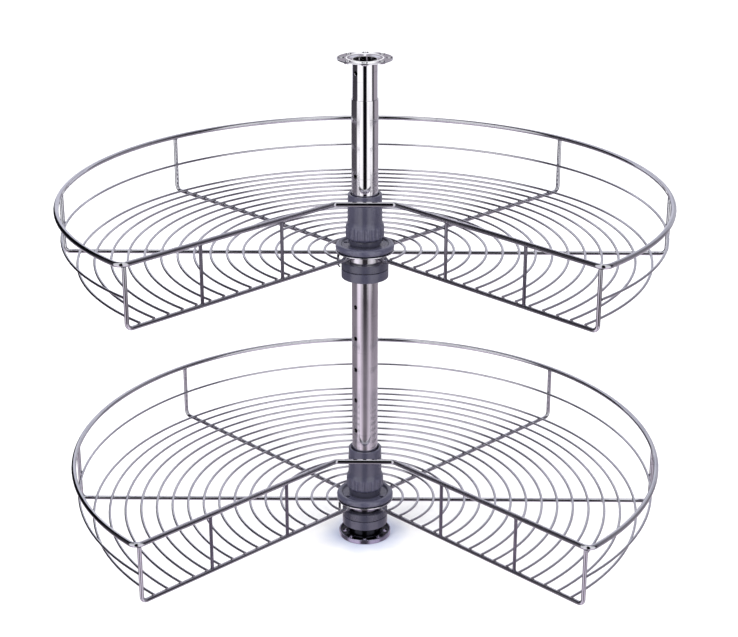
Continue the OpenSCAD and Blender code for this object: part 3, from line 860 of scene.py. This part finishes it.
def disc_screws(level):
    """Three domed screws with hexagon sockets, sunk in the flange disc."""
    head = ((0, 4.1, 0), (1.5, 4.1, 0), (1.5, 6.88, 0), (2.6, 6.88, 0.2), (2.6, 7.8, 0.3),
            (1.7, 8.5, 0.2), (0, 8.58, 0))
    socket = cones_on_circle(1, 0, 1.2, 1.3, 7.2, 9.1, segments=6)
    bm = combined(turned(head, steps=32), socket, "DIFFERENCE")
    bmesh.ops.translate(bm, vec=(SCREW_CIRCLE_R, 0, 0), verts=bm.verts)
    first = bm.verts[:] + bm.edges[:] + bm.faces[:]
    turn_round(bm, FIRST_SCREW[level], bm.verts)
    for degrees in (120, 240):
        copy = bmesh.ops.duplicate(bm, geom=first)["geom"]
        turn_round(bm, degrees, only_verts(copy))
    level_piece(level, "disc_bolts", "basket", "dark_steel", bm, ["disc_screws"])


# Side view of the catch's strip as (radius, height), its bends as (radius, height, rounding),
# its width, and where round the hub it hangs
CATCH_SIDE = ((21.95, 2.5), (DISC_R, 2.5), (DISC_R, -11.6), (32.4, -14), (31.3, -13), (32.9, -11),
              (32.9, 0.9), (21.95, 0.9))
CATCH_BENDS = ((DISC_R, 2.5, 2.4), (32.9, 0.9, 0.9), (DISC_R, -11.6, 1.6), (32.9, -11, 0.7))
CATCH_WIDTH = 4
CATCH_TURN = 203
CATCH_EDGE = 0.2


def stop_catch(level):
    """Sprung strip under the hub plate, bent down and hooked inwards at its foot."""
    bm = bmesh.new()
    outline = bm.faces.new([bm.verts.new((x, -CATCH_WIDTH / 2, z)) for x, z in CATCH_SIDE])
    pushed = bmesh.ops.extrude_face_region(bm, geom=[outline])["geom"]
    bmesh.ops.translate(bm, vec=(0, CATCH_WIDTH, 0), verts=only_verts(pushed))
    bmesh.ops.recalc_face_normals(bm, faces=bm.faces)
    for x, z, rounding in CATCH_BENDS:
        bend = [edge for edge in bm.edges
                if all(abs(v.co.x - x) < 0.01 and abs(v.co.z - z) < 0.01 for v in edge.verts)]
        rounded(bm, bend, rounding, 5)
    corners = [edge for edge in bm.edges if edge.calc_face_angle(0.0) > math.radians(60)]
    rounded(bm, corners, CATCH_EDGE, 2)
    turn_round(bm, CATCH_TURN, bm.verts)
    level_piece(level, "catch_spring", "basket", "dark_steel", bm, ["stop_catch"])


# ---------- welds of the baskets ----------

WIRES = 16
FIRST_WIRE_R = 47
WIRE_PITCH = 19
SPOKES = (0, 45, 135, 180)
# The notch rails run along the diagonals, and their lines meet this far in front of the axis
RAIL_START = 5
RAIL_UPRIGHTS = (132, 247)
# Heights of the welds over the middle of the spokes
ON_FLOOR = Vector((0, 0, 2.5))
ON_MID_RAIL = Vector((0, 0, 35))
ON_RIM = Vector((0, 0, 68))
ON_RIM_CORNER = Vector((0, 0, 68.2))
# Half sizes of the nuggets along the wire that carries them, across it and upright
WIRE_BEAD = (1.1, 1.6, 0.9)
COLLAR_BEAD = (1.3, 3.3, 3.2)
COLLAR_WELD_R = 22.3


def bead(bm, place, turn, half_sizes):
    """Small weld nugget, its long axis turned about +Z."""
    matrix = (Matrix.Translation(place) @ Matrix.Rotation(turn, 4, "Z")
              @ Matrix.Diagonal((*half_sizes, 1)))
    bmesh.ops.create_uvsphere(bm, u_segments=8, v_segments=4, radius=1.0, matrix=matrix)


def weld_beads(level):
    """Nuggets where floor wires, rails, posts and hub plate are welded together."""
    bm = bmesh.new()
    wires = [FIRST_WIRE_R + WIRE_PITCH * index for index in range(WIRES)]
    diagonal = math.sqrt(0.5)
    for turn in (math.radians(degrees) for degrees in SPOKES):
        out = Vector((math.cos(turn), math.sin(turn), 0))
        for radius in wires:
            bead(bm, out * radius + ON_FLOOR, turn, WIRE_BEAD)
        bead(bm, out * COLLAR_WELD_R, turn, COLLAR_BEAD)
        bead(bm, out * 349.5 + ON_MID_RAIL, turn, (0.9, 1.9, 1.7))
        bead(bm, out * 352 + ON_RIM, turn, (2.9, 3.0, 1.2))
    shift = RAIL_START * diagonal
    for side in (1, -1):
        along = Vector((side * diagonal, -diagonal, 0))
        outwards = Vector((side * diagonal, diagonal, 0))
        start = Vector((0, -RAIL_START, 0)) - along * shift
        turn = math.atan2(along.y, along.x)
        for radius in wires:
            reach = math.sqrt(radius ** 2 - shift ** 2)
            bead(bm, start + along * reach + ON_FLOOR, turn, WIRE_BEAD)
        bead(bm, start + along * COLLAR_WELD_R, turn, COLLAR_BEAD)
        corner = start + along * 347.6 + outwards * 2.2
        bead(bm, corner + ON_MID_RAIL, turn, (1.7, 0.9, 1.7))
        corner = start + along * 347 + outwards * 0.6
        bead(bm, corner + ON_RIM_CORNER, turn, (2.7, 2.8, 1.0))
        for reach in RAIL_UPRIGHTS:
            foot = start + along * reach
            bead(bm, foot + ON_FLOOR, turn, (2.6, 2.3, 1.0))
            bead(bm, foot + ON_RIM, turn, (2.6, 2.4, 1.0))
    # The beads take the darkened chrome: a painted dark reflection like the spokes'
    level_piece(level, "weld_beads", "basket", "chrome_wire", bm, finish="painted_shade_chrome")


studio_world()
studio_floor()
pale_card()
softbox("key", (-1.6, -1.6, 2.4), 45.0)
softbox("fill", (1.8, -1.2, 1.6), 18.0)
camera()
dress_nodes()
base_flange()
top_flange()
for level in LEVELS:
    cap_ring(level)
    clamp_nut(level)
    race_rings(level)
    hub_ring(level)
    flange_disc(level)
    disc_screws(level)
    stop_catch(level)
    weld_beads(level)

scene = bpy.context.scene
scene.view_settings.view_transform = "Standard"
scene.cycles.use_denoising = True
